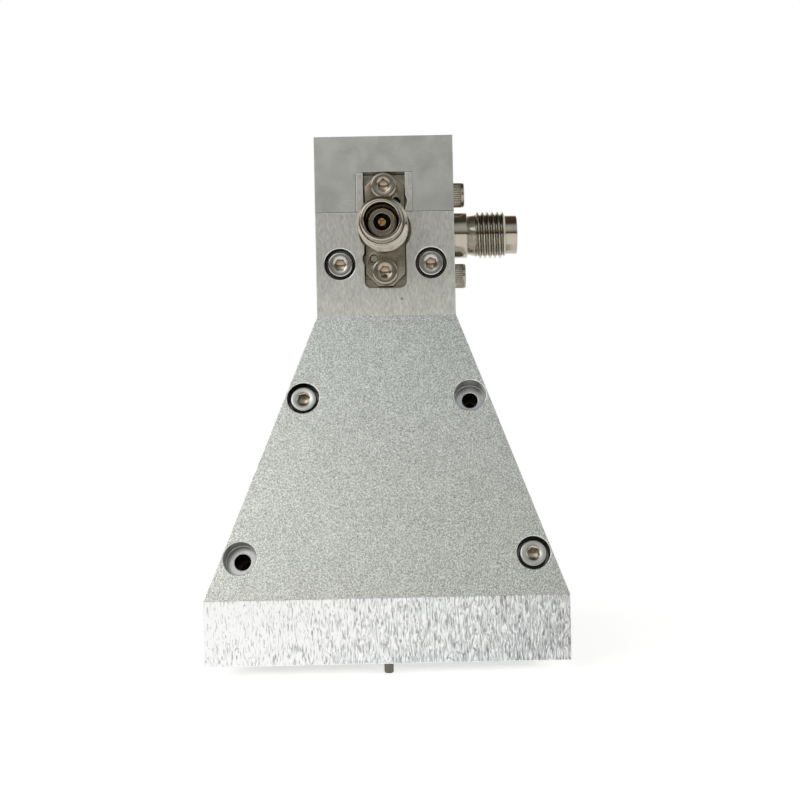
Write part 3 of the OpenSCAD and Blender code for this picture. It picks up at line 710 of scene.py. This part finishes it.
def stage():
    """A pale floor that the camera, and metal that mirrors it, see as white but for the shadow."""
    size = 3.0
    height = cad_low.z
    mesh = bpy.data.meshes.new("floor")
    corners = [(-size, -size, height), (size, -size, height), (size, size, height), (-size, size, height)]
    mesh.from_pydata(corners, [], [(0, 1, 2, 3)])
    floor = bpy.data.objects.new("floor", mesh)
    bpy.context.scene.collection.objects.link(floor)
    material = bpy.data.materials.new("pale_floor")
    material.use_nodes = True
    tree = material.node_tree
    shader = tree.nodes["Principled BSDF"]
    shader.inputs["Base Color"].default_value = (0.86, 0.86, 0.855, 1.0)
    shader.inputs["Roughness"].default_value = 0.9
    path = tree.nodes.new("ShaderNodeLightPath")
    seen = tree.nodes.new("ShaderNodeMath")
    seen.operation = "MAXIMUM"
    tree.links.new(path.outputs["Is Camera Ray"], seen.inputs[0])
    tree.links.new(path.outputs["Is Glossy Ray"], seen.inputs[1])
    also = tree.nodes.new("ShaderNodeMath")
    also.operation = "MAXIMUM"
    tree.links.new(seen.outputs[0], also.inputs[0])
    tree.links.new(path.outputs["Is Transmission Ray"], also.inputs[1])
    strength = tree.nodes.new("ShaderNodeMath")
    strength.operation = "MULTIPLY"
    strength.inputs[1].default_value = 0.62
    tree.links.new(also.outputs[0], strength.inputs[0])
    tree.links.new(strength.outputs[0], shader.inputs["Emission Strength"])
    shader.inputs["Emission Color"].default_value = (1.0, 1.0, 1.0, 1.0)
    mesh.materials.append(material)


def world():
    """White to the camera. Other rays find white level with the object behind it, warm dark overhead
    there, and in front a gradient that is brighter on the left."""
    made = bpy.data.worlds.new("studio")
    made.use_nodes = True
    bpy.context.scene.world = made
    tree = made.node_tree
    background = tree.nodes["Background"]
    way = tree.nodes.new("ShaderNodeTexCoord")
    parts = tree.nodes.new("ShaderNodeSeparateXYZ")
    tree.links.new(way.outputs["Generated"], parts.inputs[0])

    def ramp(stops):
        node = tree.nodes.new("ShaderNodeValToRGB")
        while len(node.color_ramp.elements) < len(stops):
            node.color_ramp.elements.new(0.5)
        for element, (at, colour) in zip(node.color_ramp.elements, stops):
            element.position = at
            element.color = (*colour, 1.0)
        tree.links.new(parts.outputs[2], node.inputs[0])
        return node.outputs[0]

    def blend(low, high, source, a, b):
        share = tree.nodes.new("ShaderNodeMapRange")
        share.interpolation_type = "SMOOTHSTEP"
        tree.links.new(source, share.inputs[0])
        share.inputs[1].default_value = low
        share.inputs[2].default_value = high
        mix = tree.nodes.new("ShaderNodeMix")
        mix.data_type = "RGBA"
        tree.links.new(share.outputs[0], mix.inputs[0])
        for socket, value in zip(mix.inputs[6:8], (a, b)):
            if isinstance(value, bpy.types.NodeSocket):
                tree.links.new(value, socket)
            else:
                socket.default_value = (*value, 1.0)
        return mix.outputs[2]

    left = ramp([(0.0, (0.10, 0.085, 0.06)), (0.14, (0.20, 0.19, 0.165)), (0.30, (0.72, 0.72, 0.68)),
                 (0.46, (1.55, 1.55, 1.50)), (0.62, (1.45, 1.47, 1.47)), (0.78, (0.50, 0.60, 0.68)),
                 (0.90, (0.12, 0.09, 0.06))])
    right = ramp([(0.0, (0.09, 0.075, 0.05)), (0.14, (0.16, 0.15, 0.13)), (0.30, (0.52, 0.52, 0.49)),
                  (0.46, (0.62, 0.62, 0.59)), (0.62, (0.62, 0.63, 0.62)), (0.78, (0.40, 0.48, 0.54)),
                  (0.90, (0.08, 0.06, 0.04))])
    front = blend(-0.36, 0.14, parts.outputs[0], left, right)
    back = ramp([(0.0, (1.0, 1.0, 1.0)), (0.50, (1.0, 1.0, 0.99)), (0.66, (0.40, 0.36, 0.30)),
                 (0.85, (0.10, 0.08, 0.055))])
    around = blend(-0.15, 0.12, parts.outputs[1], front, back)
    path = tree.nodes.new("ShaderNodeLightPath")
    seen = tree.nodes.new("ShaderNodeMix")
    seen.data_type = "RGBA"
    tree.links.new(path.outputs["Is Camera Ray"], seen.inputs[0])
    tree.links.new(around, seen.inputs[6])
    seen.inputs[7].default_value = (1.0, 1.0, 1.0, 1.0)
    tree.links.new(seen.outputs[2], background.inputs["Color"])


def lamp(name, place, aim, size, power, colour=(1.0, 1.0, 1.0)):
    light = bpy.data.lights.new(name, "AREA")
    light.shape = "RECTANGLE"
    light.size, light.size_y = size
    light.energy = power
    light.color = colour
    piece = bpy.data.objects.new(name, light)
    bpy.context.scene.collection.objects.link(piece)
    piece.location = place
    piece.rotation_euler = (Vector(aim) - Vector(place)).to_track_quat("-Z", "Y").to_euler()


def camera():
    data = bpy.data.cameras.new("camera")
    data.sensor_width = 36.0
    data.lens = 52.232
    data.shift_x = -0.0683
    data.shift_y = 0.0071
    data.clip_start = 0.01
    eye = bpy.data.objects.new("camera", data)
    bpy.context.scene.collection.objects.link(eye)
    eye.location = Vector((8.217, -175.653, 33.724)) * MM
    eye.rotation_euler = [math.radians(turn) for turn in (89.928, 1.15, -0.432)]
    bpy.context.scene.camera = eye


# ---- The model ----

camera()
stage()
world()
middle = (cad_low + cad_high) / 2
lamp("key", (-0.28, -0.34, 0.32), middle, (0.30, 0.30), 0.22)
lamp("fill", (0.36, -0.22, 0.20), middle, (0.22, 0.22), 0.05, (1.0, 0.97, 0.93))

milled = plate_finish()
satin = cap_finish()
steel = turned_finish("turned_steel", (0.46, 0.42, 0.355), 0.11, 0.07, 0.07)
flange_steel = grained_finish("flange_steel", (0.27, 0.24, 0.19), 0.30, (3.0, 3.0, 9.0), 0.002, spread=0.2)
head_steel = turned_finish("screw_steel", (0.50, 0.49, 0.46), 0.20, 0.05, 0.10)
flange_head_steel = turned_finish("flange_screw_steel", (0.37, 0.335, 0.275), 0.19, 0.05, 0.10)
# painted shade: the screws' hexagon sockets take this darker, browner steel
hex_socket_painted_shade = turned_finish("screw_socket_painted_shade", (0.30, 0.24, 0.17), 0.14, 0.05, 0.12)
gold = grained_finish("gold_plate", (0.58, 0.38, 0.17), 0.26, (8.0, 8.0, 8.0), 0.001)
bead = grained_finish("dark_bead", (0.03, 0.03, 0.03), 0.5, (6.0, 6.0, 6.0), 0.002, metallic=0.0)
sleeve = grained_finish("white_sleeve", (0.80, 0.79, 0.75), 0.45, (5.0, 5.0, 5.0), 0.002, metallic=0.0)
pin_steel = grained_finish("pin_steel", (0.56, 0.53, 0.47), 0.22, (9.0, 9.0, 9.0), 0.001)
dark_pin = grained_finish("dark_ground_steel", (0.16, 0.15, 0.13), 0.32, (4.0, 4.0, 14.0), 0.002)

CAD_FINISHES = {
    milled: ["front_plate", "back_plate", "left_plate", "right_plate"],
    satin: ["cap"],
    steel: ["front_jack_bush", "right_jack_bush"],
    bead: ["front_jack_bead", "right_jack_bead"],
    gold: ["front_jack_contact", "right_jack_contact", "front_probe", "right_probe"],
    sleeve: ["front_probe_sleeve", "right_probe_sleeve"],
    pin_steel: ["front_flange_pin", "right_flange_pin"],
    dark_pin: ["rim_pin"],
}
for material, names in CAD_FINISHES.items():
    for name in names:
        data = frame["nodes"][name].data
        data.materials.clear()
        data.materials.append(material)

jack("front", Vector((0, -1, 0)))
jack("right", Vector((1, 0, 0)))


def straight_out(point):
    """The way out of the neck or flange that a point is nearest to."""
    if abs(point.y) > abs(point.x):
        return Vector((0, math.copysign(1.0, point.y), 0))
    return Vector((math.copysign(1.0, point.x), 0, 0))


def out_of_neck(point):
    return Vector((0, math.copysign(1.0, point.y), 0))


def out_of_flare(point):
    return Vector((0, math.copysign(math.cos(FLARE_ANGLE), point.y), math.sin(FLARE_ANGLE)))


def out_of_cap(point):
    return Vector((0, 0, 1))


screws("front_flange_screws", straight_out, flange_head_steel, (0.35, 0.1))
screws("right_flange_screws", straight_out, flange_head_steel, (0.2, 0.6))
for node in ("front_neck_screws", "back_neck_screws"):
    screws(node, out_of_neck, head_steel, (0.5, 0.15))
for node in ("front_flare_screws", "back_flare_screws"):
    screws(node, out_of_flare, head_steel, (0.3, 0.75, 0.1, 0.55))
screws("cap_screws", out_of_cap, head_steel, (0.2, 0.6, 0.9, 0.4))

bpy.context.scene.view_settings.view_transform = "Standard"
